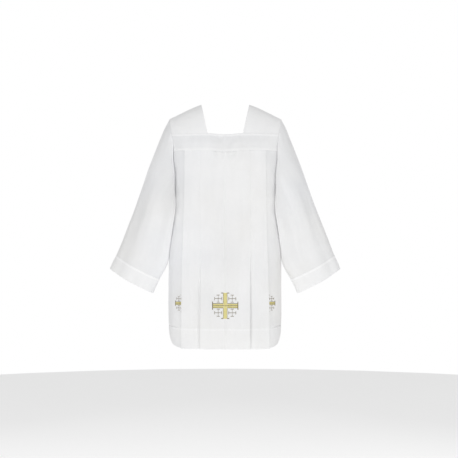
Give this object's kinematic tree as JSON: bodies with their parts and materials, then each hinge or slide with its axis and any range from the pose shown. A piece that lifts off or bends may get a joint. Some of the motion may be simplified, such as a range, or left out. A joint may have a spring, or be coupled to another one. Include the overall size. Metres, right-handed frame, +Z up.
{
  "type": "surplice",
  "caption": "White surplice held at the shoulders and hollow: square neck, yoke bands, outward knife pleats, wide cuffed sleeves and gold crosses embroidered above the hem.",
  "frame": {"origin": "midway between the two shoulders, at the level where the body carries the garment (mount shoulders)", "axes": "+Z up, towards the neck; -Y towards the garment's front; +X towards the wearer's left sleeve"},
  "size_m": [0.9456, 0.269, 0.9897],
  "materials": {
    "cloth": "matte plain weave",
    "doubled_cloth": "matte plain weave, doubled",
    "gold_thread": "satin stitch with a soft sheen",
    "outline_thread": "fine stitch with a soft sheen"
  },
  "bodies": {
    "root": {"skirt_front": "cloth", "skirt_back": "cloth", "yoke_front": "doubled_cloth", "yoke_back": "doubled_cloth", "shoulder_left": "doubled_cloth", "shoulder_right": "doubled_cloth", "sleeve_left": "cloth", "sleeve_right": "cloth", "cuff_left": "doubled_cloth", "cuff_right": "doubled_cloth", "cross_front": "gold_thread", "cross_side_left": "gold_thread", "cross_side_right": "gold_thread", "crosslet_front_1": "outline_thread", "crosslet_front_2": "outline_thread", "crosslet_front_3": "outline_thread", "crosslet_front_4": "outline_thread", "crosslet_side_left_1": "outline_thread", "crosslet_side_left_2": "outline_thread", "crosslet_side_left_3": "outline_thread", "crosslet_side_left_4": "outline_thread", "crosslet_side_right_1": "outline_thread", "crosslet_side_right_2": "outline_thread", "crosslet_side_right_3": "outline_thread", "crosslet_side_right_4": "outline_thread"}
  },
  "joints": []
}
